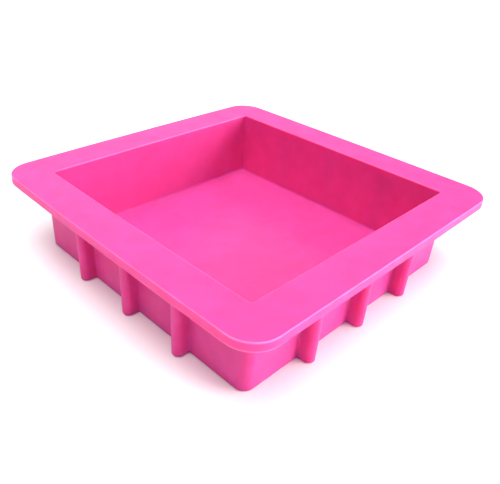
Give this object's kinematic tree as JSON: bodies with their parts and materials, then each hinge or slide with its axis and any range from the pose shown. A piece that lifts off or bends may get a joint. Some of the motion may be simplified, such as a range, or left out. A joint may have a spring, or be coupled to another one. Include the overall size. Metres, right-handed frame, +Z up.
{
  "type": "soap mould",
  "caption": "Square silicone slab mould for soap: a shallow open tray with a wide flat rim and upright stiffening ribs on its walls.",
  "frame": {"origin": "centre of the underside of the floor, on the surface that the mould stands on", "axes": "+Z up, out of the open cavity; X and Y along the walls, with the front wall towards -Y and the right wall towards +X"},
  "size_m": [0.254, 0.254, 0.06],
  "materials": {
    "silicone": "satin moulded silicone, slightly translucent hot pink"
  },
  "bodies": {
    "root": {"mould_tray": "silicone", "rib_front_1": "silicone", "rib_front_2": "silicone", "rib_front_3": "silicone", "rib_right_1": "silicone", "rib_right_2": "silicone", "rib_right_3": "silicone", "rib_back_1": "silicone", "rib_back_2": "silicone", "rib_back_3": "silicone", "rib_left_1": "silicone", "rib_left_2": "silicone", "rib_left_3": "silicone"}
  },
  "joints": []
}
